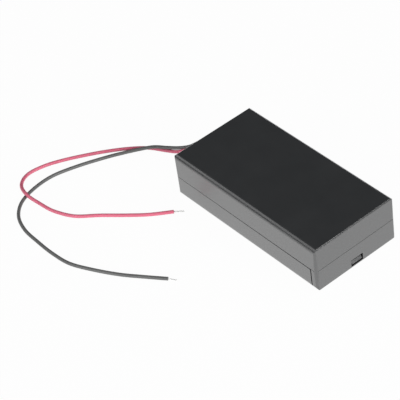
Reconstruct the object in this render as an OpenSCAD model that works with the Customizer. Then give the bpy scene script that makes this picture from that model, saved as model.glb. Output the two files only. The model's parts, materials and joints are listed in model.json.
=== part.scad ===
// Enclosed holder for two cylindrical cells laid side by side, with a slide-off cover and two flying leads.
// X runs along the cells (+X is the latch end, -X the lead end), Y across them, Z up.
// The origin is the centre of the case's footprint on the surface that it lies on.

/* [Case] */
// Length of the case
case_l = 68; // [67:0.5:74]
// Width of the case at the parting line
case_w = 34; // [34:0.5:37]
// Height of the case
case_h = 17.3; // [17.3:0.1:19]
// Height of the parting line between the holder and the cover
part_z = 8.6; // [8.4:0.1:9]
// Wall thickness of both mouldings
wall = 1.3; // [1.2:0.1:1.3]
// Draft of each face, as the inset at the top edge
top_draft = 0.18; // [0.05:0.01:0.3]
// Draft of each face, as the inset at the bottom edge
bottom_draft = 0.08; // [0.05:0.01:0.3]
// Radius of the long top edges
top_edge_r = 1.6; // [0.6:0.1:1.8]
// Radius of the long bottom edges
bottom_edge_r = 2.2; // [1:0.1:2.6]
// Radius of the short top edge at the latch end
end_top_r = 0.7; // [0.2:0.1:1]
// Radius of the short top edge at the lead end
rear_top_r = 1.1; // [0.6:0.1:1.8]
// Radius of the short bottom edges
end_bottom_r = 0.8; // [0.2:0.1:1]
// Radius of the upright corners at the latch end
corner_r = 1.4; // [0.3:0.1:1.5]
// Radius of the upright corners at the lead end
rear_corner_r = 1.6; // [0.6:0.1:2]

/* [Cover fit] */
// Gap of the long seam at the lead end
seam_gap_rear = 0.15; // [0.1:0.01:0.3]
// Gap of the long seam at the latch end, where the cover springs open a little
seam_gap_front = 0.35; // [0.1:0.01:0.5]
// How far the holder's end wall wraps round on to the long sides
end_return = 2.35; // [2:0.05:3]
// Width of the upright slit between that return and the cover
slit_w = 0.45; // [0.2:0.05:0.5]
// Gap between the cover's floor and the inside of the end wall
floor_gap = 0.2; // [0.15:0.05:0.4]

/* [Latch] */
// Width of the latch window in the end wall
window_w = 5; // [4.5:0.1:6]
// Height of the window's sill
window_sill = 0.9; // [0.8:0.05:1.2]
// Height of the window's head
window_head = 3.55; // [3.3:0.05:4]
// Gap round the nib in the window
nib_gap = 0.25; // [0.15:0.05:0.4]

/* [Cells] */
// Diameter of one cell
cell_d = 14.5; // [14:0.1:14.5]
// Length of one cell, without its springs
cell_l = 50.5; // [49:0.5:50.5]
// Thickness of the web between the cells
web_t = 0.9; // [0.8:0.1:1.2]
// Thickness of a cradle rib
rib_t = 1.2; // [0.8:0.1:1.6]

/* [Contacts] */
// Thickness of the contact sheet
sheet_t = 0.4; // [0.3:0.05:0.5]
// Width of a single contact
contact_w = 10; // [8:0.5:11]
// Height of a contact
contact_h = 10; // [8:0.5:10]
// Diameter of the spring wire
spring_wire_d = 0.7; // [0.5:0.05:0.9]
// Free length of a spring, over its contact
spring_l = 8; // [6:0.5:9]
// Working turns of a spring
spring_turns = 4; // [3:1:5]

/* [Leads] */
// Outside diameter of a lead's insulation
lead_d = 1.2; // [1:0.05:1.3]
// Diameter of the twisted strands inside
strand_d = 0.4; // [0.3:0.05:0.6]
// Distance between the two leads where they leave the case
lead_pitch = 1.5; // [1.4:0.1:2]

/* [Hidden] */
$fn = 48;
eps = 0.01;

black_plastic = [0.10, 0.10, 0.11];
plated = [0.78, 0.78, 0.76];
tin = [0.72, 0.73, 0.74];
red_pvc = [0.80, 0.12, 0.20];
black_pvc = [0.12, 0.13, 0.13];

half_l = case_l / 2;
half_w = case_w / 2;
ceiling_z = case_h - wall;
inner_x = half_l - wall;
inner_y = half_w - wall;
return_x = half_l - end_return;

// The two cell bays
bay_y = web_t / 2 + 0.2 + cell_d / 2;
bay_r = cell_d / 2 + 0.2;
cell_z = wall + (ceiling_z - wall) / 2;
bridge_back_x = inner_x - 1.3;
partition_x = bridge_back_x - 2 * sheet_t - cell_l - 5.5;
partition_t = 1.4;
partition_foot_z = 4.2;
partition_clear = 0.4;
rib_x = [-14, 3, 20];
// Clearance of the holder's ribs over the cover's edge, and of the floor's ribs under the web
rib_clear = 0.6;
floor_rib_clear = 0.5;
// Ribs that back the bridge contact
backing_y = [4.6, 11.4];
backing_t = 1;

// The contacts
contact_z = cell_z - contact_h / 2;
contact_corner_r = 1.2;
dimple_r = 4;
dimple_rise = 0.7;
tag_w = 3;
tag_l = 3.6;
tag_x = partition_x - tag_l + sheet_t;
slot_rib = 0.8;
slot_lap = 0.7;

// The nib: how far its ridge stays behind the end face, and how its face falls back from that ridge
nib_set_back = 0.3;
nib_stem_t = 1.1;
nib_drop = 0.15;
nib_ridge = 0.75;
nib_slope_low = 0.18;
nib_slope_high = 0.3;

// The hooks beside the lead space that hold the cover's rear end up
hook_x = -inner_x + 1.2;
hook_l = 3.6;
toe_z = 5.6;
toe_t = 1;
toe_reach = 0.75;
hook_gap = 0.15;
hook_leg = 0.9;
ledge_t = 0.9;
ledge_root = 0.2;

// The fine line round the latch end
witness_w = 0.14;
witness_depth = 0.12;

// The notch that the leads leave through
lead_z = part_z + 0.75;
notch_w = lead_pitch + lead_d + 0.3;
notch_top = lead_z + lead_d / 2 + 0.15;

// ---------- outlines of the case ----------

// One quarter corner of a drafted outline: the tangent points and centre for an edge radius r,
// on a side that leans inward by `inset` over the height `rise`.
function lean(inset, rise) = atan2(inset, rise);
function edge_centre(half, inset, rise, r) =
    half - inset + r * tan(lean(inset, rise)) - r / cos(lean(inset, rise));
function edge_side(half, inset, rise, r) =
    [edge_centre(half, inset, rise, r) + r * cos(lean(inset, rise)), r - r * sin(lean(inset, rise))];

// Half of a drafted outline: widest at the parting line, with a radius at each edge.
module drafted_half(half, top_r, low_r) {
    rise = case_h - part_z;
    top_c = edge_centre(half, top_draft, rise, top_r);
    top_s = edge_side(half, top_draft, rise, top_r);
    low_c = edge_centre(half, bottom_draft, part_z, low_r);
    low_s = edge_side(half, bottom_draft, part_z, low_r);
    polygon([[-eps, 0], [low_c, 0], low_s, [half, part_z],
             [top_s[0], case_h - top_s[1]], [top_c, case_h], [-eps, case_h]]);
    translate([low_c, low_r]) circle(r = low_r);
    translate([top_c, case_h - top_r]) circle(r = top_r);
}

// The outline across the case.
module cross_outline() {
    drafted_half(half_w, top_edge_r, bottom_edge_r);
    mirror([1, 0]) drafted_half(half_w, top_edge_r, bottom_edge_r);
}

// The outline along the case, with the lead end rounder than the latch end.
module long_outline() {
    drafted_half(half_l, end_top_r, end_bottom_r);
    mirror([1, 0]) drafted_half(half_l, rear_top_r, end_bottom_r);
}

// Half of the case's plan, from its middle to one end with two upright corners of radius r.
module plan_half(r) {
    translate([-eps, -half_w + r]) square([half_l + eps, 2 * (half_w - r)]);
    translate([-eps, -half_w]) square([half_l - r + eps, 2 * half_w]);
    for (side = [-1, 1]) {
        translate([half_l - r, side * (half_w - r)]) circle(r = r);
    }
}

module plan_outline() {
    plan_half(corner_r);
    mirror([1, 0]) plan_half(rear_corner_r);
}

// The outer form of the closed case, as three crossed prisms.
module case_form() {
    intersection() {
        rotate([90, 0, 90]) linear_extrude(case_l + 2, center = true) cross_outline();
        rotate([90, 0, 0]) linear_extrude(case_w + 2, center = true) long_outline();
        translate([0, 0, -1]) linear_extrude(case_h + 2) plan_outline();
    }
}

// A block given by its low and high corners.
module block(low, high) {
    translate(low) cube(high - low);
}

// ---------- holder ----------

// The upper shell, and the full-height end wall that wraps round at the latch end.
module holder_shell() {
    difference() {
        case_form();
        block([-half_l - 1, -half_w - 1, -1], [return_x, half_w + 1, part_z]);
        block([-inner_x, -inner_y, -1], [inner_x, inner_y, ceiling_z]);
        window();
        lead_notch();
        witness_line();
    }
}

// The fine line that carries the seam round the latch end.
module witness_line() {
    core_y = half_w - witness_depth;
    difference() {
        block([return_x - slit_w, -half_w - 1, part_z - witness_w / 2],
              [half_l + 1, half_w + 1, part_z + witness_w / 2]);
        block([return_x - 1, -core_y, -1], [half_l - witness_depth, core_y, case_h]);
    }
}

// The opening in the end wall that the cover's nib enters.
module window() {
    block([inner_x - 1, -window_w / 2, window_sill], [half_l + 1, window_w / 2, window_head]);
}

// The notch in the rear wall's lower edge, with a round head, that both leads share.
module lead_notch() {
    head_r = notch_top - lead_z;
    block([-half_l - 1, -notch_w / 2, part_z - 1], [-inner_x + 1, notch_w / 2, lead_z]);
    block([-half_l - 1, -notch_w / 2 + head_r, part_z - 1], [-inner_x + 1, notch_w / 2 - head_r, notch_top]);
    for (side = [-1, 1]) {
        translate([-half_l - 1, side * (notch_w / 2 - head_r), lead_z])
            rotate([0, 90, 0]) cylinder(r = head_r, h = wall + 2);
    }
}

// A cross rib shaped as the upper half of both bays.
module cradle_rib(x) {
    difference() {
        block([x, -inner_y - eps, part_z + rib_clear], [x + rib_t, inner_y + eps, ceiling_z + eps]);
        for (side = [-1, 1]) {
            translate([x - 1, side * bay_y, cell_z]) rotate([0, 90, 0]) cylinder(r = bay_r, h = rib_t + 2);
            block([x - 1, side * bay_y - bay_r, part_z - 1], [x + rib_t + 1, side * bay_y + bay_r, cell_z]);
        }
    }
}

// The web between the cells, and the partition that closes off the lead space.
module walls_inside() {
    block([partition_x - eps, -web_t / 2, partition_foot_z], [bridge_back_x - 2, web_t / 2, ceiling_z + eps]);
    block([partition_x - partition_t, -inner_y - eps, part_z + partition_clear],
          [partition_x, inner_y + eps, ceiling_z + eps]);
    block([partition_x - partition_t, -inner_y + partition_clear, partition_foot_z],
          [partition_x, inner_y - partition_clear, part_z + 1]);
}

// Upright ribs in front of a contact's two edges in each bay, off the side wall and off the web.
module slot_ribs(x) {
    outer = bay_y + contact_w / 2 - slot_lap;
    inner = bay_y - contact_w / 2 + slot_lap;
    for (side = [0, 1]) {
        mirror([0, side, 0]) {
            block([x, outer, part_z + rib_clear], [x + slot_rib, inner_y + eps, ceiling_z + eps]);
            block([x, 0, contact_z + 1], [x + slot_rib, inner, ceiling_z + eps]);
        }
    }
}

// Ribs on the end wall that back the bridge contact clear of the latch.
module backing_ribs() {
    for (side = [-1, 1], y = backing_y) {
        block([bridge_back_x, side * y - backing_t / 2, contact_z],
              [inner_x + eps, side * y + backing_t / 2, ceiling_z + eps]);
    }
}

// A hook beside the lead space: a leg inside the cover's wall with a toe under the cover's ledge.
module hook(side) {
    leg_y = inner_y - toe_reach - hook_leg;
    toe_w = hook_leg + toe_reach - hook_gap;
    y0 = side > 0 ? leg_y : -leg_y - hook_leg;
    toe_y0 = side > 0 ? leg_y : -leg_y - toe_w;
    block([hook_x, y0, toe_z], [hook_x + hook_l, y0 + hook_leg, ceiling_z + eps]);
    block([hook_x, toe_y0, toe_z], [hook_x + hook_l, toe_y0 + toe_w, toe_z + toe_t]);
}

module holder_body() {
    color(black_plastic) {
        union() {
            holder_shell();
            walls_inside();
            backing_ribs();
            for (x = rib_x) cradle_rib(x);
            slot_ribs(partition_x + sheet_t);
            slot_ribs(bridge_back_x - sheet_t - slot_rib);
            for (side = [-1, 1]) hook(side);
        }
    }
}

// ---------- cover ----------

// The space that the cover's outside fills: everything below the seam, which opens toward the latch end.
module below_seam() {
    rotate([90, 0, 0]) linear_extrude(case_w + 4, center = true)
        polygon([[-half_l - 1, -1], [return_x - slit_w, -1],
                 [return_x - slit_w, part_z - seam_gap_front], [-half_l - 1, part_z - seam_gap_rear]]);
}

// The nib on the front of the cover's floor. Its face shows in the window, with a low ridge across it.
module latch_nib() {
    low = window_sill + nib_gap + nib_drop;
    high = window_head - nib_gap;
    tip = half_l - nib_set_back;
    front = inner_x - floor_gap;
    rotate([90, 0, 0]) linear_extrude(window_w - 2 * nib_gap, center = true)
        polygon([[front - nib_stem_t, wall - eps], [front, wall - eps], [front, low],
                 [tip - nib_slope_low, low], [tip, low + nib_ridge], [tip - nib_slope_high, high],
                 [front - nib_stem_t, high]]);
}

// Low cradle ribs across the cover's floor, which stop short of the web.
module floor_ribs() {
    for (x = rib_x) {
        difference() {
            block([x, -inner_y - eps, wall - eps],
                  [x + rib_t, inner_y + eps, partition_foot_z - floor_rib_clear]);
            for (side = [-1, 1]) {
                translate([x - 1, side * bay_y, cell_z]) rotate([0, 90, 0]) cylinder(r = bay_r, h = rib_t + 2);
            }
        }
    }
}

// A ledge on the inside of the cover's wall that rests on a hook's toe.
module ledge(side) {
    z0 = toe_z + toe_t + hook_gap;
    reach = toe_reach - hook_gap + ledge_root;
    y0 = side > 0 ? inner_y + ledge_root - reach : -inner_y - ledge_root;
    block([hook_x, y0, z0], [hook_x + hook_l, y0 + reach, z0 + ledge_t]);
}

module cover() {
    color(black_plastic) {
        union() {
            difference() {
                intersection() {
                    case_form();
                    below_seam();
                }
                block([-inner_x, -inner_y, wall], [half_l, inner_y, case_h]);
            }
            intersection() {
                case_form();
                block([return_x - slit_w - eps, -inner_y + floor_gap, -1],
                      [inner_x - floor_gap, inner_y - floor_gap, wall]);
            }
            floor_ribs();
            latch_nib();
            for (side = [-1, 1]) ledge(side);
        }
    }
}

// ---------- contacts ----------

// A flat contact with its lower corners rounded, standing in the YZ plane with its back at x.
module contact_sheet(x, y0, y1) {
    r = contact_corner_r;
    translate([x, 0, 0]) rotate([90, 0, 90]) linear_extrude(sheet_t) {
        translate([y0, contact_z + r]) square([y1 - y0, contact_h - r]);
        translate([y0 + r, contact_z]) square([y1 - y0 - 2 * r, contact_h]);
        translate([y0 + r, contact_z + r]) circle(r = r);
        translate([y1 - r, contact_z + r]) circle(r = r);
    }
}

// A pressed dimple that meets the cell's button: a shallow dome revolved about X, rising along -X.
module dimple() {
    ball = (dimple_r * dimple_r + dimple_rise * dimple_rise) / (2 * dimple_rise);
    rotate([0, -90, 0]) rotate_extrude() intersection() {
        translate([0, dimple_rise - ball]) circle(r = ball);
        translate([0, -sheet_t / 2]) square([ball, sheet_t / 2 + ball]);
    }
}

// The tag folded back from the foot of a contact, under the partition, for the lead to be soldered to.
module solder_tag(y) {
    block([tag_x, y - tag_w / 2, contact_z - sheet_t], [partition_x + sheet_t, y + tag_w / 2, contact_z]);
}

module positive_contact() {
    color(plated) {
        union() {
            contact_sheet(partition_x, -bay_y - contact_w / 2, -bay_y + contact_w / 2);
            translate([partition_x + sheet_t, -bay_y, cell_z]) rotate([0, 0, 180]) dimple();
            solder_tag(-bay_y);
        }
    }
}

module negative_contact() {
    color(plated) {
        union() {
            contact_sheet(partition_x, bay_y - contact_w / 2, bay_y + contact_w / 2);
            solder_tag(bay_y);
        }
    }
}

module bridge_contact() {
    color(plated) {
        union() {
            contact_sheet(bridge_back_x - sheet_t, -bay_y - contact_w / 2, bay_y + contact_w / 2);
            translate([bridge_back_x - sheet_t, bay_y, cell_z]) dimple();
        }
    }
}

// ---------- swept shapes ----------

spring_sides = 6;
spring_steps = 14;
spring_base_r = 3.8;
spring_nose_r = 2.6;
spring_flat = 0.55;
spring_rest = spring_wire_d / 2 * sin(360 / spring_sides);

// A point along a spring: flat for half a turn on the contact, then working turns that narrow to the nose,
// which is flat again. The flat parts stop short of a turn, so the wire's ends clear the turn beside them.
function spring_point(t) =
    let (turn = t * (spring_turns + 2 * spring_flat),
         rise = max(0, min(1, (turn - spring_flat) / spring_turns)),
         r = spring_base_r + (spring_nose_r - spring_base_r) * rise)
    [spring_rest + (spring_l - 2 * spring_rest) * rise, r * cos(360 * turn), r * sin(360 * turn)];

function unit(v) = v / norm(v);

// The direction of a route at its ring i.
function heading(path, i) =
    unit(path[min(i + 1, len(path) - 1)] - path[max(i - 1, 0)]);

// The rings of a tube of radius r along a path. `up` is any direction that the path never follows.
function tube_rings(path, r, sides, up) =
    [for (i = [0 : len(path) - 1])
        let (d = heading(path, i), u = unit(cross(d, up)), v = cross(d, u))
        for (k = [0 : sides - 1])
            path[i] + r * cos(360 * k / sides) * u + r * sin(360 * k / sides) * v];

function tube_faces(rings, sides) =
    concat([[for (k = [0 : sides - 1]) k]],
           [for (i = [0 : rings - 2], k = [0 : sides - 1], half = [0, 1])
               let (a = i * sides + k, b = i * sides + (k + 1) % sides)
               half == 0 ? [a, a + sides, b + sides] : [a, b + sides, b]],
           [[for (k = [sides - 1 : -1 : 0]) (rings - 1) * sides + k]]);

module tube(path, r, sides, up) {
    polyhedron(points = tube_rings(path, r, sides, up), faces = tube_faces(len(path), sides));
}

// A coil spring along +X whose base stands on the origin.
module spring() {
    steps = ceil(spring_steps * (spring_turns + 2 * spring_flat));
    tube([for (i = [0 : steps]) spring_point(i / steps)], spring_wire_d / 2, spring_sides, [1, 0, 0]);
}

module negative_spring() {
    color(plated) translate([partition_x + sheet_t, bay_y, cell_z]) spring();
}

module bridge_spring() {
    color(plated) translate([bridge_back_x - sheet_t, -bay_y, cell_z]) mirror([1, 0, 0]) spring();
}

// ---------- leads ----------

lead_sides = 8;
lead_steps = 2;
rest_z = lead_d / 2;
over_z = rest_z + lead_d + 0.1;

root_x = tag_x + 0.5;
root_z = contact_z + strand_d / 2;

// Points that each lead passes through, from its root inside the case to the end of its insulation.
red_route = concat(
    [[root_x - 1.4, -bay_y, root_z + 0.1], [root_x - 2.7, -bay_y + 1.3, root_z + 1],
     [root_x - 2.9, -5, 6.6], [-inner_x + 1.5, -1.9, 8.7],
     [-inner_x, -lead_pitch / 2, lead_z], [-half_l - 2, -lead_pitch / 2, lead_z]],
    [[-39.5, -0.9, 9.1], [-43, -1.8, 6.2], [-46, -2.9, 3.6], [-50, -4.2, 1.3],
     [-54.5, -6.2, rest_z], [-60, -9.4, rest_z], [-64.8, -14.2, rest_z], [-69.5, -20.5, rest_z],
     [-73.5, -27, rest_z], [-77, -33.5, rest_z], [-79.5, -40, rest_z], [-80, -46.5, rest_z],
     [-76.5, -51.3, 1.2], [-70.5, -53.3, over_z], [-64.5, -52.6, 1.2], [-58, -51.2, rest_z],
     [-51, -48, rest_z], [-45, -42, rest_z], [-38.5, -36, rest_z], [-33, -30.5, rest_z], [-28, -24, rest_z]]);

black_route = concat(
    [[root_x - 1.4, bay_y, root_z + 0.1], [root_x - 2.7, bay_y - 1.3, root_z + 1],
     [root_x - 2.9, 5, 6.6], [-inner_x + 1.5, 1.9, 8.7],
     [-inner_x, lead_pitch / 2, lead_z], [-half_l - 2, lead_pitch / 2, lead_z]],
    [[-39.5, 0.7, 9.1], [-43, 0, 6.6], [-46.5, -1.3, 3.8], [-50, -3.2, 2.4],
     [-53.5, -5.4, over_z], [-57.5, -8.5, over_z], [-61, -12.6, 1.3], [-64.5, -17.4, rest_z],
     [-68, -25, rest_z], [-71, -33, rest_z], [-73, -41, rest_z], [-72.5, -49, rest_z],
     [-70, -56, rest_z], [-65, -61, rest_z], [-58, -63.5, rest_z], [-50, -64, rest_z],
     [-42, -64, rest_z], [-34, -63, rest_z], [-26, -59.5, rest_z], [-18, -55, rest_z],
     [-11, -50, rest_z], [-5, -45.5, rest_z]]);

// Where the bare strands end, past the insulation.
red_strand_end = [-25.8, -21.3, strand_d / 2 + 0.1];
black_strand_end = [-2.4, -43.7, strand_d / 2 + 0.1];

// A smooth curve through four neighbouring points, at t from 0 to 1 between the middle two.
function through(p, q, r, s, t) =
    0.5 * (2 * q + (r - p) * t + (2 * p - 5 * q + 4 * r - s) * t * t + (3 * q - p - 3 * r + s) * t * t * t);

// A point of a route, kept up on the surface that the case lies on.
function kept_up(p) = [p[0], p[1], max(p[2], rest_z)];

function smooth(route) =
    let (n = len(route))
    concat([for (i = [0 : n - 2], k = [0 : lead_steps - 1])
               kept_up(through(route[max(i - 1, 0)], route[i], route[i + 1], route[min(i + 2, n - 1)],
                               k / lead_steps))],
           [route[n - 1]]);

module lead(route) {
    tube(smooth(route), lead_d / 2, lead_sides, [0.05, 0.05, 1]);
}

// Twisted strands that leave a lead's cut end, from inside the insulation's face to a free end.
module strands(from, to) {
    tube([from, (from + to) / 2, to], strand_d / 2, lead_sides, [0.05, 0.05, 1]);
}

module red_lead() {
    color(red_pvc) lead(red_route);
}

module black_lead() {
    color(black_pvc) lead(black_route);
}

module red_lead_root() {
    color(tin) strands(red_route[0], [root_x + 0.8, -bay_y, root_z]);
}

module black_lead_root() {
    color(tin) strands(black_route[0], [root_x + 0.8, bay_y, root_z]);
}

module red_lead_tip() {
    color(tin) strands(red_route[len(red_route) - 1], red_strand_end);
}

module black_lead_tip() {
    color(tin) strands(black_route[len(black_route) - 1], black_strand_end);
}

mound_r = 1.1;
mound_sink = 0.3;

// A mound of solder over the strands on a tag.
module solder_mound(y) {
    intersection() {
        translate([root_x + 0.4, y, contact_z - mound_sink]) sphere(r = mound_r);
        block([tag_x - tag_w, y - tag_w, contact_z], [partition_x, y + tag_w, contact_z + 2 * mound_r]);
    }
}

module positive_solder_joint() {
    color(tin) difference() {
        solder_mound(-bay_y);
        red_lead_root();
    }
}

module negative_solder_joint() {
    color(tin) difference() {
        solder_mound(bay_y);
        black_lead_root();
    }
}

holder_body();
cover();
positive_contact();
negative_contact();
negative_spring();
bridge_contact();
bridge_spring();
positive_solder_joint();
negative_solder_joint();
red_lead();
red_lead_root();
red_lead_tip();
black_lead();
black_lead_root();
black_lead_tip();
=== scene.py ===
# %% [markdown]
# # An enclosed holder for two cylindrical cells
# The holder is a small black box: an upper shell that carries the end wall with the latch window, a cover
# that slides off below it, sheet contacts and springs inside, and two flying leads with bare ends.
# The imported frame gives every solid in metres. This lesson dresses them: crisp moulded edges, fine moulded
# texture, round wire, soft insulation and twisted strands.

import json
import math
import random

import bpy
from mathutils import Matrix, Vector

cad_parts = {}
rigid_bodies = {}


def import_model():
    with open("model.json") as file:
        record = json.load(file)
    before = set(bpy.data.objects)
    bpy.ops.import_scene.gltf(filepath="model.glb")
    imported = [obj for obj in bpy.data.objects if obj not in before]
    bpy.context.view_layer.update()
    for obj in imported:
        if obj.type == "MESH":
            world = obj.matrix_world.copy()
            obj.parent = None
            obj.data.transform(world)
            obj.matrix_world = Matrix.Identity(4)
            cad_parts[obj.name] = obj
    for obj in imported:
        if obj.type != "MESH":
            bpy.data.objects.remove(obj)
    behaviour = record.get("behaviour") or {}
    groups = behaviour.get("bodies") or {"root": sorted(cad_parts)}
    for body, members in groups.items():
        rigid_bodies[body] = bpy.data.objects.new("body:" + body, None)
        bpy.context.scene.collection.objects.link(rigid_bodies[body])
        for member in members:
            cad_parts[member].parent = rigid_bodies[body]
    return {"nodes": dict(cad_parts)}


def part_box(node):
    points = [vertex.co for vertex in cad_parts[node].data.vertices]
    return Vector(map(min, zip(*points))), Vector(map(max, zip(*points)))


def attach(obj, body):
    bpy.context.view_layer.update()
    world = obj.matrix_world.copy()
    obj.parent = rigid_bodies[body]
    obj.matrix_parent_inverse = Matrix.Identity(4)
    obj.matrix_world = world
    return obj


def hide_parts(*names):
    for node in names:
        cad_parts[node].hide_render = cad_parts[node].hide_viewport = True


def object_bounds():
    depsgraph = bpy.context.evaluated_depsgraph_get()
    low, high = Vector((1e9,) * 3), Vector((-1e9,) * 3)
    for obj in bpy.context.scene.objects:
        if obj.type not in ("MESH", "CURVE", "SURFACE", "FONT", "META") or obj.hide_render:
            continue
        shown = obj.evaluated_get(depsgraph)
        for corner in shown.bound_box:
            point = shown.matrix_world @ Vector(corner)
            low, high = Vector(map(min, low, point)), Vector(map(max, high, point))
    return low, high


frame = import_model()
cad_low, cad_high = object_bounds()
scene = bpy.context.scene

# %% [markdown]
# Lengths are easier to read in millimetres, and the scene works in metres, so one number converts them.
# The case's own boxes give the places that later cells need.

# %% Sizes taken from the frame
MM = 0.001

holder_low, holder_high = (Vector(corner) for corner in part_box("holder_body"))
cover_high = Vector(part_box("cover")[1])
case_top = holder_high.z
print("case, mm:", [round(v / MM, 2) for v in (holder_high - holder_low)], "high to", round(case_top / MM, 2))

# %% [markdown]
# The camera looks down on the box from its latch end, far away and through a long lens, so that opposite
# edges stay almost parallel. Two angles and a small roll turn it, and then it is moved in its own picture
# plane, which puts the box on the right and leaves room for the leads on the left.

# %% Camera
VIEW_AZIMUTH = math.radians(55.574)
VIEW_ELEVATION = math.radians(41.381)
VIEW_ROLL = math.radians(-8.845)
VIEW_DISTANCE = 596 * MM
VIEW_ASIDE = -27.655 * MM
VIEW_UPWARD = 5.016 * MM
LENS = 164.88
SENSOR = 36
NEAREST = 0.01
FURTHEST = 20

back = Vector((math.sin(VIEW_AZIMUTH) * math.cos(VIEW_ELEVATION),
               -math.cos(VIEW_AZIMUTH) * math.cos(VIEW_ELEVATION),
               math.sin(VIEW_ELEVATION)))
level_right = (-back).cross(Vector((0, 0, 1))).normalized()
level_up = level_right.cross(-back)
right = math.cos(VIEW_ROLL) * level_right + math.sin(VIEW_ROLL) * level_up
up = math.cos(VIEW_ROLL) * level_up - math.sin(VIEW_ROLL) * level_right

lens = bpy.data.cameras.new("camera")
lens.lens = LENS
lens.sensor_width = SENSOR
lens.clip_start = NEAREST
lens.clip_end = FURTHEST
camera = bpy.data.objects.new("camera", lens)
scene.collection.objects.link(camera)
turn = Matrix([[axis[row] for axis in (right, up, back)] for row in range(3)]).to_4x4()
camera.matrix_world = Matrix.Translation(back * VIEW_DISTANCE + right * VIEW_ASIDE + up * VIEW_UPWARD) @ turn
scene.camera = camera
print("camera at", [round(v, 3) for v in camera.location])

# %% [markdown]
# Every operator works on what is selected, and the frame leaves its nodes selected. So a short helper
# selects one object alone, and a second one lets a finished piece ride on its body and hides the nodes
# that it stands for.


# %% Selecting and tagging
def select_only(piece):
    """Select one object alone and make it the active one."""
    bpy.ops.object.select_all(action="DESELECT")
    piece.select_set(True)
    bpy.context.view_layer.objects.active = piece


def put_in_frame(piece, body, nodes):
    """Let a piece ride on its body and stand for its nodes."""
    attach(piece, body)
    for node in nodes:
        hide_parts(node)
    faces = len(piece.data.polygons) if piece.type == "MESH" else 0
    print(piece.name, "rides on", body, "for", ", ".join(nodes), "with", faces, "faces")


bpy.ops.object.select_all(action="DESELECT")

# %% [markdown]
# The two leads come first, because they reach furthest. Each one is a fixed length of thin stranded wire in
# soft insulation: it starts at its solder tag inside the case, leaves through the notch in the rear wall,
# sinks to the table, and lies there in one loose hook that the other lead crosses twice. A curve is the
# natural thing to model it with, since its round section is only a number. The points are the places that
# the lead passes through, and each handle follows from the two neighbouring points, so the curve stays
# smooth. No point or handle sinks below the height at which the insulation rests on the table.

# %% Leads
LEAD_DIAMETER = 1.2 * MM
LEAD_ON_TABLE = 0.6
LEAD_ROUNDNESS = 6
LEAD_STEPS = 10
HANDLE_SHARE = 6

RED_ROUTE = [
    (-29.5, -7.9, 3.95), (-30.8, -6.6, 4.85), (-31, -5, 6.6), (-31.2, -1.9, 8.7), (-32.7, -0.75, 9.35),
    (-36, -0.75, 9.35), (-39.5, -0.9, 9.1), (-43, -1.8, 6.2), (-46, -2.9, 3.6), (-50, -4.2, 1.3),
    (-54.5, -6.2, 0.6), (-60, -9.4, 0.6), (-64.8, -14.2, 0.6), (-69.5, -20.5, 0.6), (-73.5, -27, 0.6),
    (-77, -33.5, 0.6), (-79.5, -40, 0.6), (-80, -46.5, 0.6), (-76.5, -51.3, 1.2), (-70.5, -53.3, 1.9),
    (-64.5, -52.6, 1.2), (-58, -51.2, 0.6), (-51, -48, 0.6), (-45, -42, 0.6), (-38.5, -36, 0.6),
    (-33, -30.5, 0.6), (-28, -24, 0.6)]
BLACK_ROUTE = [
    (-29.5, 7.9, 3.95), (-30.8, 6.6, 4.85), (-31, 5, 6.6), (-31.2, 1.9, 8.7), (-32.7, 0.75, 9.35),
    (-36, 0.75, 9.35), (-39.5, 0.7, 9.1), (-43, 0, 6.6), (-46.5, -1.3, 3.8), (-50, -3.2, 2.4),
    (-53.5, -5.4, 1.9), (-57.5, -8.5, 1.9), (-61, -12.6, 1.3), (-64.5, -17.4, 0.6), (-68, -25, 0.6),
    (-71, -33, 0.6), (-73, -41, 0.6), (-72.5, -49, 0.6), (-70, -56, 0.6), (-65, -61, 0.6),
    (-58, -63.5, 0.6), (-50, -64, 0.6), (-42, -64, 0.6), (-34, -63, 0.6), (-26, -59.5, 0.6),
    (-18, -55, 0.6), (-11, -50, 0.6), (-5, -45.5, 0.6)]


def kept_on_table(point):
    """The same point, no lower than where the insulation rests on the table."""
    return Vector((point.x, point.y, max(point.z, LEAD_ON_TABLE)))


def make_lead(name, route):
    """A round lead as a curve of one open spline through the route's points."""
    points = [Vector(p) for p in route]
    curve = bpy.data.curves.new(name, "CURVE")
    curve.dimensions = "3D"
    curve.bevel_depth = 1
    curve.bevel_resolution = LEAD_ROUNDNESS
    curve.resolution_u = LEAD_STEPS
    curve.use_fill_caps = True
    spline = curve.splines.new("BEZIER")
    spline.bezier_points.add(len(points) - 1)
    for i, knot in enumerate(spline.bezier_points):
        ahead = points[min(i + 1, len(points) - 1)]
        behind = points[max(i - 1, 0)]
        reach = (ahead - behind) / HANDLE_SHARE
        knot.handle_left_type = knot.handle_right_type = "FREE"
        knot.co = points[i] * MM
        knot.handle_left = kept_on_table(points[i] - reach) * MM
        knot.handle_right = kept_on_table(points[i] + reach) * MM
        knot.radius = LEAD_DIAMETER / 2
    lead = bpy.data.objects.new(name, curve)
    scene.collection.objects.link(lead)
    return lead


red_lead = make_lead("red_lead_insulation", RED_ROUTE)
black_lead = make_lead("black_lead_insulation", BLACK_ROUTE)
for lead in (red_lead, black_lead):
    print(lead.name, "mm long:", round(lead.data.splines[0].calc_length() / MM, 1))

# %% [markdown]
# At both ends of a lead the insulation is stripped and seven thin tinned strands show, twisted together. On
# the real wire one strand runs straight and six wind round it. Each strand is a thin curve of its own, and
# the seven are turned into one mesh, so that a lead's bare end is a single piece. Towards a free end the
# twist loosens a little and the strands spread, while at the solder tag they stay tight.

# %% Bare strands
STRAND_RADIUS = 0.066 * MM
STRAND_RING = 0.134 * MM
STRAND_PITCH = 2.2 * MM
STRAND_STEPS = 26
STRANDS = 7
STRAND_ROUNDNESS = 2
STRAND_UNEVEN = 0.12
FREE_SPREAD = 0.7


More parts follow.
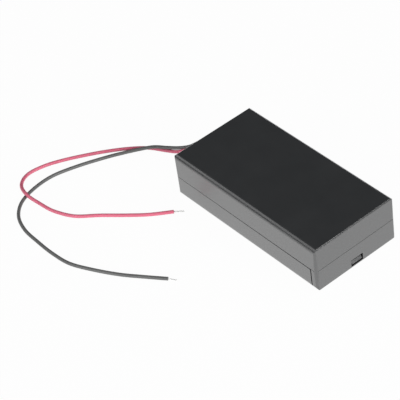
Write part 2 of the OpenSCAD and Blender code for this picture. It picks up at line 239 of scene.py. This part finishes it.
def make_strands(name, start, end, spread, seed):
    """Seven twisted strands between two points, which spread towards the end."""
    rng = random.Random(seed)
    along = (end - start).normalized()
    side = along.cross(Vector((0, 0, 1))).normalized()
    rise = side.cross(along)
    length = (end - start).length
    curve = bpy.data.curves.new(name, "CURVE")
    curve.dimensions = "3D"
    curve.bevel_depth = STRAND_RADIUS
    curve.bevel_resolution = STRAND_ROUNDNESS
    curve.use_fill_caps = True
    for strand in range(STRANDS):
        ring = STRAND_RING if strand else 0
        phase = strand * math.tau / (STRANDS - 1)
        drift = (rng.uniform(-1, 1), rng.uniform(-0.6, 1))
        reach = 1 - STRAND_UNEVEN * rng.random()
        spline = curve.splines.new("POLY")
        spline.points.add(STRAND_STEPS - 1)
        for i, knot in enumerate(spline.points):
            t = i / (STRAND_STEPS - 1) * reach
            turn = phase + t * length / STRAND_PITCH * math.tau
            loose = 1 + spread * t ** 3
            place = start + along * (t * length)
            place += side * (ring * loose * math.cos(turn) + drift[0] * spread * STRAND_RADIUS * t ** 3)
            place += rise * (ring * loose * math.sin(turn) + drift[1] * spread * STRAND_RADIUS * t ** 3)
            knot.co = (place.x, place.y, place.z, 1)
    strands = bpy.data.objects.new(name, curve)
    scene.collection.objects.link(strands)
    select_only(strands)
    bpy.ops.object.convert(target="MESH")
    bpy.ops.object.shade_smooth()
    print(name, "mm long:", round(length / MM, 2), "faces:", len(strands.data.polygons))
    return strands


STRAND_OVERLAP = 0.4 * MM
RED_STRAND_END = Vector((-25.8, -21.3, 0.3)) * MM
BLACK_STRAND_END = Vector((-2.4, -43.7, 0.3)) * MM
RED_ROOT_END = Vector((-27.3, -7.9, 3.85)) * MM
BLACK_ROOT_END = Vector((-27.3, 7.9, 3.85)) * MM


def strands_past(route_point, end, name, spread, seed):
    """Strands that start just inside the insulation's cut face."""
    face = Vector(route_point) * MM
    start = face - (end - face).normalized() * STRAND_OVERLAP
    return make_strands(name, start, end, spread, seed)


red_tip = strands_past(RED_ROUTE[-1], RED_STRAND_END, "red_lead_bare_end", FREE_SPREAD, 3)
black_tip = strands_past(BLACK_ROUTE[-1], BLACK_STRAND_END, "black_lead_bare_end", FREE_SPREAD, 5)
red_root = strands_past(RED_ROUTE[0], RED_ROOT_END, "red_lead_soldered_end", 0, 7)
black_root = strands_past(BLACK_ROUTE[0], BLACK_ROOT_END, "black_lead_soldered_end", 0, 9)

# %% [markdown]
# Each lead stands for its solid in the frame, and so does each bare end. All of it rides on the case.

put_in_frame(red_lead, "case", ["red_lead"])
put_in_frame(black_lead, "case", ["black_lead"])
put_in_frame(red_tip, "case", ["red_lead_tip"])
put_in_frame(black_tip, "case", ["black_lead_tip"])
put_in_frame(red_root, "case", ["red_lead_root"])
put_in_frame(black_root, "case", ["black_lead_root"])

# %% [markdown]
# The case and the contacts already have the right shape in the frame. What they lack is how a moulded or
# stamped edge catches the light, so each is dressed the same way. Its node's mesh is loose triangles and is
# left alone. A copy of it is merged, flat faces that were cut into triangles are dissolved into whole ones,
# and a small bevel is applied along the sharp edges only. Shading by angle then keeps flats flat.


# %% Dressing a copy of a node
DOUBLE_DISTANCE = 0.002 * MM
FLAT_ANGLE = math.radians(0.6)
SHARP_ANGLE = math.radians(34)
EDGE_SEGMENTS = 2


def merged_copy(node, name):
    """A copy of a node's mesh with its doubles merged and its flat faces whole."""
    piece = bpy.data.objects.new(name, frame["nodes"][node].data.copy())
    scene.collection.objects.link(piece)
    piece.data.materials.clear()
    select_only(piece)
    bpy.ops.object.mode_set(mode="EDIT")
    bpy.ops.mesh.select_all(action="SELECT")
    bpy.ops.mesh.remove_doubles(threshold=DOUBLE_DISTANCE)
    bpy.ops.mesh.dissolve_limited(angle_limit=FLAT_ANGLE)
    bpy.ops.object.mode_set(mode="OBJECT")
    return piece


def crisp_edges(piece, width):
    """Bevel the sharp edges of a piece and shade it by angle."""
    select_only(piece)
    bevel = piece.modifiers.new("edges", "BEVEL")
    bevel.limit_method = "ANGLE"
    bevel.angle_limit = SHARP_ANGLE
    bevel.width = width
    bevel.segments = EDGE_SEGMENTS
    bevel.use_clamp_overlap = True
    bevel.miter_outer = "MITER_ARC"
    bpy.ops.object.modifier_apply(modifier=bevel.name)
    bpy.ops.object.shade_smooth_by_angle(angle=SHARP_ANGLE)
    flats = piece.modifiers.new("flats", "WEIGHTED_NORMAL")
    flats.mode = "FACE_AREA"
    flats.weight = 100
    flats.keep_sharp = True
    bpy.ops.object.modifier_apply(modifier=flats.name)


# %% [markdown]
# The case is two thin mouldings of one hard plastic: the holder, with the end wall that wraps round at the
# latch end, and the cover, which closes the underside. A mould is cut with a fine round at every edge, about
# a tenth of a millimetre, which draws a thin bright line where two faces meet. The cover's nib sprang up into
# the window when the cover was pushed home, so its face is brought forward a little before the edges are
# rounded: it stands almost level with the end wall, with a dark gap round it and its top leaning back.

# %% Case mouldings
MOULDED_EDGE = 0.1 * MM
NIB_REACH = 2.6 * MM
NIB_FACE = 0.5 * MM
NIB_FOOT = 1.3 * MM
NIB_TOP = 2 * MM
NIB_FORWARD = 0.2 * MM
NIB_LEAN = 0.2 * MM
NIB_SQUEEZE = (1, 0.9, 0.7)


def pick_nib(piece, floor_z):
    """Go to edit mode with only the points of the nib's face that lie above a height selected."""
    select_only(piece)
    bpy.ops.object.mode_set(mode="EDIT")
    bpy.ops.mesh.select_mode(type="VERT")
    bpy.ops.mesh.select_all(action="DESELECT")
    bpy.ops.object.mode_set(mode="OBJECT")
    for vertex in piece.data.vertices:
        place = vertex.co
        vertex.select = (place.x > cover_high.x - NIB_FACE and abs(place.y) < NIB_REACH and place.z > floor_z)
    print("points of the nib:", sum(vertex.select for vertex in piece.data.vertices))
    bpy.ops.object.mode_set(mode="EDIT")


def seat_nib(piece):
    """Bring the nib's face up into the window, a little smaller than it was and with its top leaning back."""
    pick_nib(piece, 0)
    bpy.ops.transform.translate(value=(NIB_FORWARD, 0, 0))
    bpy.ops.transform.resize(value=NIB_SQUEEZE, center_override=(cover_high.x, 0, NIB_FOOT))
    bpy.ops.object.mode_set(mode="OBJECT")
    pick_nib(piece, NIB_TOP)
    bpy.ops.transform.translate(value=(-NIB_LEAN, 0, 0))
    bpy.ops.object.mode_set(mode="OBJECT")


holder = merged_copy("holder_body", "holder_moulding")
crisp_edges(holder, MOULDED_EDGE)
put_in_frame(holder, "case", ["holder_body"])

lid = merged_copy("cover", "cover_moulding")
seat_nib(lid)
crisp_edges(lid, MOULDED_EDGE)
put_in_frame(lid, "cover", ["cover"])

# %% [markdown]
# Three contacts are stamped from plated spring steel. A stamped edge is rolled over by a few hundredths of a
# millimetre on one side, so a much smaller bevel than the case's is enough to make it glint.

# %% Stamped contacts
STAMPED_EDGE = 0.05 * MM

for node in ("positive_contact", "negative_contact", "bridge_contact"):
    contact = merged_copy(node, node + "_sheet")
    crisp_edges(contact, STAMPED_EDGE)
    put_in_frame(contact, "case", [node])

# %% [markdown]
# Each spring is round wire wound into a cone: a flat half turn on its contact, four working turns that
# narrow, and a flat half turn that bears on the cell. It is a curve again, with many points to each turn,
# and it is made a mesh when it is finished. The box of its node gives where its base and its nose are, and
# its middle is the middle of the cell that it bears on.

# %% Springs
WIRE_RADIUS = 0.35 * MM
BASE_RADIUS = 3.8 * MM
NOSE_RADIUS = 2.6 * MM
WORKING_TURNS = 4
FLAT_TURN = 0.55
STEPS_PER_TURN = 28
WIRE_ROUNDNESS = 3
CELL_HEIGHT = 8.65 * MM
CELL_ASIDE = 7.9 * MM


def make_spring(name, node, centre_y, points_back):
    """A conical spring in the box of its node, with its base at the contact."""
    low, high = (Vector(corner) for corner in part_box(node))
    length = high.x - low.x
    curve = bpy.data.curves.new(name, "CURVE")
    curve.dimensions = "3D"
    curve.bevel_depth = WIRE_RADIUS
    curve.bevel_resolution = WIRE_ROUNDNESS
    curve.use_fill_caps = True
    turns = WORKING_TURNS + 2 * FLAT_TURN
    spline = curve.splines.new("POLY")
    spline.points.add(round(turns * STEPS_PER_TURN))
    for i, knot in enumerate(spline.points):
        turn = i / STEPS_PER_TURN
        rise = min(max((turn - FLAT_TURN) / WORKING_TURNS, 0), 1)
        radius = BASE_RADIUS + (NOSE_RADIUS - BASE_RADIUS) * rise
        reach = WIRE_RADIUS + (length - 2 * WIRE_RADIUS) * rise
        x = high.x - reach if points_back else low.x + reach
        y = centre_y + radius * math.cos(turn * math.tau)
        z = CELL_HEIGHT + radius * math.sin(turn * math.tau)
        knot.co = (x, y, z, 1)
    spring = bpy.data.objects.new(name, curve)
    scene.collection.objects.link(spring)
    select_only(spring)
    bpy.ops.object.convert(target="MESH")
    bpy.ops.object.shade_smooth()
    print(name, "mm long:", round(length / MM, 2), "faces:", len(spring.data.polygons))
    return spring


negative_spring = make_spring("negative_spring_wire", "negative_spring", CELL_ASIDE, False)
put_in_frame(negative_spring, "case", ["negative_spring"])
bridge_spring = make_spring("bridge_spring_wire", "bridge_spring", -CELL_ASIDE, True)
put_in_frame(bridge_spring, "case", ["bridge_spring"])

# %% [markdown]
# Each solder joint is a small mound that has wetted the tag and the strands. The frame has its cap already,
# so a merged copy that is shaded smooth over the cap is enough, and the finish gives it its dull skin.

# %% Solder joints
for node in ("positive_solder_joint", "negative_solder_joint"):
    mound = merged_copy(node, node + "_mound")
    select_only(mound)
    bpy.ops.object.shade_smooth_by_angle(angle=SHARP_ANGLE)
    put_in_frame(mound, "case", [node])

# %% [markdown]
# Two effects serve every finish, so each is a node group that is built once. The first is a fine grain for
# the surface's height: a mould's spark-cut texture, the skin of an extruded lead or the mottle of plating.
# The second gives slow patches, in which colour and roughness drift a little, as on any real surface. Both
# read Object coordinates, which don't slide when a piece moves, because its place is in its mesh.


# %% Node groups for grain and patches
def new_group(name, inputs, outputs):
    """An empty shader node group with named sockets."""
    group = bpy.data.node_groups.new(name, "ShaderNodeTree")
    for label, kind, value in inputs:
        socket = group.interface.new_socket(name=label, in_out="INPUT", socket_type=kind)
        socket.default_value = value
    for label, kind in outputs:
        group.interface.new_socket(name=label, in_out="OUTPUT", socket_type=kind)
    return group, group.nodes.new("NodeGroupInput"), group.nodes.new("NodeGroupOutput")


def make_grain_group():
    """Fine pits and bumps: a close noise with a wider, weaker one under it."""
    group, given, made = new_group(
        "fine grain",
        [("Fineness", "NodeSocketFloat", 4000.0), ("Waviness", "NodeSocketFloat", 0.3)],
        [("Height", "NodeSocketFloat")])
    place = group.nodes.new("ShaderNodeTexCoord")
    close = group.nodes.new("ShaderNodeTexNoise")
    close.inputs["Detail"].default_value = 3
    close.inputs["Roughness"].default_value = 0.6
    wide = group.nodes.new("ShaderNodeTexNoise")
    wide.inputs["Scale"].default_value = 420
    wide.inputs["Detail"].default_value = 2
    total = group.nodes.new("ShaderNodeMath")
    total.operation = "MULTIPLY_ADD"
    link = group.links.new
    link(place.outputs["Object"], close.inputs["Vector"])
    link(place.outputs["Object"], wide.inputs["Vector"])
    link(given.outputs["Fineness"], close.inputs["Scale"])
    link(wide.outputs["Fac"], total.inputs[0])
    link(given.outputs["Waviness"], total.inputs[1])
    link(close.outputs["Fac"], total.inputs[2])
    link(total.outputs[0], made.inputs["Height"])
    return group


def make_patch_group():
    """Slow drift of colour and roughness between two given values of each."""
    group, given, made = new_group(
        "slow patches",
        [("Size", "NodeSocketFloat", 120.0),
         ("Darker", "NodeSocketColor", (0.1, 0.1, 0.1, 1)),
         ("Lighter", "NodeSocketColor", (0.2, 0.2, 0.2, 1)),
         ("Smoother", "NodeSocketFloat", 0.3), ("Rougher", "NodeSocketFloat", 0.5)],
        [("Color", "NodeSocketColor"), ("Roughness", "NodeSocketFloat")])
    place = group.nodes.new("ShaderNodeTexCoord")
    noise = group.nodes.new("ShaderNodeTexNoise")
    noise.inputs["Detail"].default_value = 5
    noise.inputs["Roughness"].default_value = 0.55
    spread = group.nodes.new("ShaderNodeMapRange")
    spread.inputs["From Min"].default_value = 0.3
    spread.inputs["From Max"].default_value = 0.7
    shade = group.nodes.new("ShaderNodeMix")
    shade.data_type = "RGBA"
    rough = group.nodes.new("ShaderNodeMapRange")
    link = group.links.new
    link(place.outputs["Object"], noise.inputs["Vector"])
    link(given.outputs["Size"], noise.inputs["Scale"])
    link(noise.outputs["Fac"], spread.inputs["Value"])
    link(spread.outputs["Result"], shade.inputs["Factor"])
    link(given.outputs["Darker"], shade.inputs["A"])
    link(given.outputs["Lighter"], shade.inputs["B"])
    link(shade.outputs["Result"], made.inputs["Color"])
    link(spread.outputs["Result"], rough.inputs["Value"])
    link(given.outputs["Smoother"], rough.inputs["To Min"])
    link(given.outputs["Rougher"], rough.inputs["To Max"])
    link(rough.outputs["Result"], made.inputs["Roughness"])
    return group


grain_group = make_grain_group()
patch_group = make_patch_group()
print("groups:", grain_group.name, "and", patch_group.name)

# %% [markdown]
# A finish joins the two groups to a Principled shader. What is the same all over a surface, such as whether
# it is metal and how strongly it mirrors, is set on the shader itself.


# %% Finishes
def finish(name, darker, lighter, smoother, rougher, size, fineness, waviness, depth, metal=0.0, ior=1.5,
           coat=0.0, coat_rough=0.3):
    """A material with slow patches in its colour and roughness, and fine grain in its height."""
    material = bpy.data.materials.new(name)
    material.use_nodes = True
    nodes = material.node_tree.nodes
    link = material.node_tree.links.new
    shader = nodes["Principled BSDF"]
    shader.inputs["Metallic"].default_value = metal
    shader.inputs["IOR"].default_value = ior
    shader.inputs["Coat Weight"].default_value = coat
    shader.inputs["Coat Roughness"].default_value = coat_rough
    patches = nodes.new("ShaderNodeGroup")
    patches.node_tree = patch_group
    patches.inputs["Size"].default_value = size
    patches.inputs["Darker"].default_value = (*darker, 1)
    patches.inputs["Lighter"].default_value = (*lighter, 1)
    patches.inputs["Smoother"].default_value = smoother
    patches.inputs["Rougher"].default_value = rougher
    grain = nodes.new("ShaderNodeGroup")
    grain.node_tree = grain_group
    grain.inputs["Fineness"].default_value = fineness
    grain.inputs["Waviness"].default_value = waviness
    bump = nodes.new("ShaderNodeBump")
    bump.inputs["Strength"].default_value = 1
    bump.inputs["Distance"].default_value = depth
    link(patches.outputs["Color"], shader.inputs["Base Color"])
    link(patches.outputs["Roughness"], shader.inputs["Roughness"])
    link(grain.outputs["Height"], bump.inputs["Height"])
    link(bump.outputs["Normal"], shader.inputs["Normal"])
    return material


black_plastic = finish("black moulded plastic", (0.015, 0.016, 0.017), (0.019, 0.020, 0.021), 0.33, 0.38,
                       90, 5200, 0.5, 0.006 * MM, ior=2.1, coat=1.0, coat_rough=0.33)
plated_sheet = finish("nickel-plated sheet", (0.60, 0.59, 0.56), (0.72, 0.71, 0.68), 0.16, 0.30,
                      260, 2600, 0.6, 0.004 * MM, metal=1.0)
spring_wire = finish("nickel-plated wire", (0.62, 0.61, 0.58), (0.74, 0.73, 0.70), 0.14, 0.26,
                     600, 3800, 0.4, 0.003 * MM, metal=1.0)
solder_skin = finish("set solder", (0.52, 0.53, 0.54), (0.70, 0.71, 0.72), 0.22, 0.42,
                     900, 2400, 1.5, 0.012 * MM, metal=1.0)
tinned_strand = finish("tinned copper strand", (0.90, 0.90, 0.89), (0.96, 0.96, 0.95), 0.50, 0.60,
                       1500, 5000, 0.5, 0.002 * MM, metal=0.6)
red_insulation = finish("red insulation", (0.80, 0.17, 0.26), (0.86, 0.19, 0.29), 0.42, 0.50,
                        160, 3200, 0.2, 0.0025 * MM)
black_insulation = finish("black insulation", (0.137, 0.138, 0.136), (0.164, 0.165, 0.162), 0.38, 0.46,
                          160, 3200, 0.2, 0.0025 * MM)

worn_by = {
    black_plastic: [holder, lid],
    plated_sheet: [o for o in scene.objects if o.name.endswith("_contact_sheet")],
    spring_wire: [negative_spring, bridge_spring],
    solder_skin: [o for o in scene.objects if o.name.endswith("_mound")],
    tinned_strand: [red_tip, black_tip, red_root, black_root],
    red_insulation: [red_lead],
    black_insulation: [black_lead],
}
for material, wearers in worn_by.items():
    for piece in wearers:
        piece.data.materials.clear()
        piece.data.materials.append(material)
    print(material.name, "on", len(wearers), "pieces")

# %% [markdown]
# The part lies on a plain pale table under plain soft light. The table is a lit matt white. For the camera
# and for mirror rays it is lifted most of the way to paper white, so that the plastic's sides mirror a white
# table without any more light falling on the part. What is left of its shading, and so of the part's shadow,
# is the small rest of LIFT, which can hardly be seen.

# %% Table
TABLE_SIZE = 6
TABLE_GAP = 0.01 * MM
TABLE_WHITE = (0.9, 0.9, 0.9, 1)
LIFT = 0.97

bpy.ops.object.select_all(action="DESELECT")
bpy.ops.mesh.primitive_plane_add(size=TABLE_SIZE, location=(0, 0, cad_low.z - TABLE_GAP))
table = bpy.context.active_object
table.name = "table"
paper = bpy.data.materials.new("white table")
paper.use_nodes = True
nodes = paper.node_tree.nodes
link = paper.node_tree.links.new
nodes.remove(nodes["Principled BSDF"])
matt = nodes.new("ShaderNodeBsdfDiffuse")
matt.inputs["Color"].default_value = TABLE_WHITE
white = nodes.new("ShaderNodeEmission")
white.inputs["Strength"].default_value = 1
ray = nodes.new("ShaderNodeLightPath")
seen = nodes.new("ShaderNodeMath")
seen.operation = "MAXIMUM"
lift = nodes.new("ShaderNodeMath")
lift.operation = "MULTIPLY"
lift.inputs[1].default_value = LIFT
blend = nodes.new("ShaderNodeMixShader")
link(ray.outputs["Is Camera Ray"], seen.inputs[0])
link(ray.outputs["Is Glossy Ray"], seen.inputs[1])
link(seen.outputs[0], lift.inputs[0])
link(lift.outputs[0], blend.inputs["Fac"])
link(matt.outputs[0], blend.inputs[1])
link(white.outputs[0], blend.inputs[2])
link(blend.outputs[0], nodes["Material Output"].inputs["Surface"])
table.data.materials.append(paper)

# %% [markdown]
# Glossy plastic shows what it mirrors, so each soft box has one job. The near and the end box are low and
# light the two visible sides. The left box is mirrored only by the long top edge, as a grey band, and the
# high box only by the short one, as a thin line. Nothing stands where the top mirrors, far to the left and
# behind, so it mirrors the plain dim world and stays the darkest face.

# %% Soft boxes and world
AIM = Vector((-15, -10, 5)) * MM
WORLD_COLOUR = (0.9, 0.95, 1.0, 1)
WORLD_STRENGTH = 0.08


def soft_box(name, place, width, height, watts):
    """A wide lamp at a place, turned to the middle of the part."""
    light = bpy.data.lights.new(name, "AREA")
    light.shape = "RECTANGLE"
    light.size = width
    light.size_y = height
    light.energy = watts
    lamp = bpy.data.objects.new(name, light)
    scene.collection.objects.link(lamp)
    lamp.location = place
    lamp.rotation_euler = (AIM - Vector(place)).to_track_quat("-Z", "Y").to_euler()
    return lamp


soft_box("near soft box", (0.10, -0.95, 0.28), 0.80, 0.5, 4.4)
soft_box("end soft box", (0.95, -0.05, 0.30), 0.6, 0.5, 7.0)
soft_box("left soft box", (-0.65, -0.33, 0.66), 0.75, 0.46, 1.1)
soft_box("high soft box", (0.30, 0.42, 0.86), 0.5, 0.3, 1.7)

world = bpy.data.worlds.new("plain studio")
world.use_nodes = True
world.node_tree.nodes["Background"].inputs["Color"].default_value = WORLD_COLOUR
world.node_tree.nodes["Background"].inputs["Strength"].default_value = WORLD_STRENGTH
scene.world = world
scene.view_settings.view_transform = "Standard"
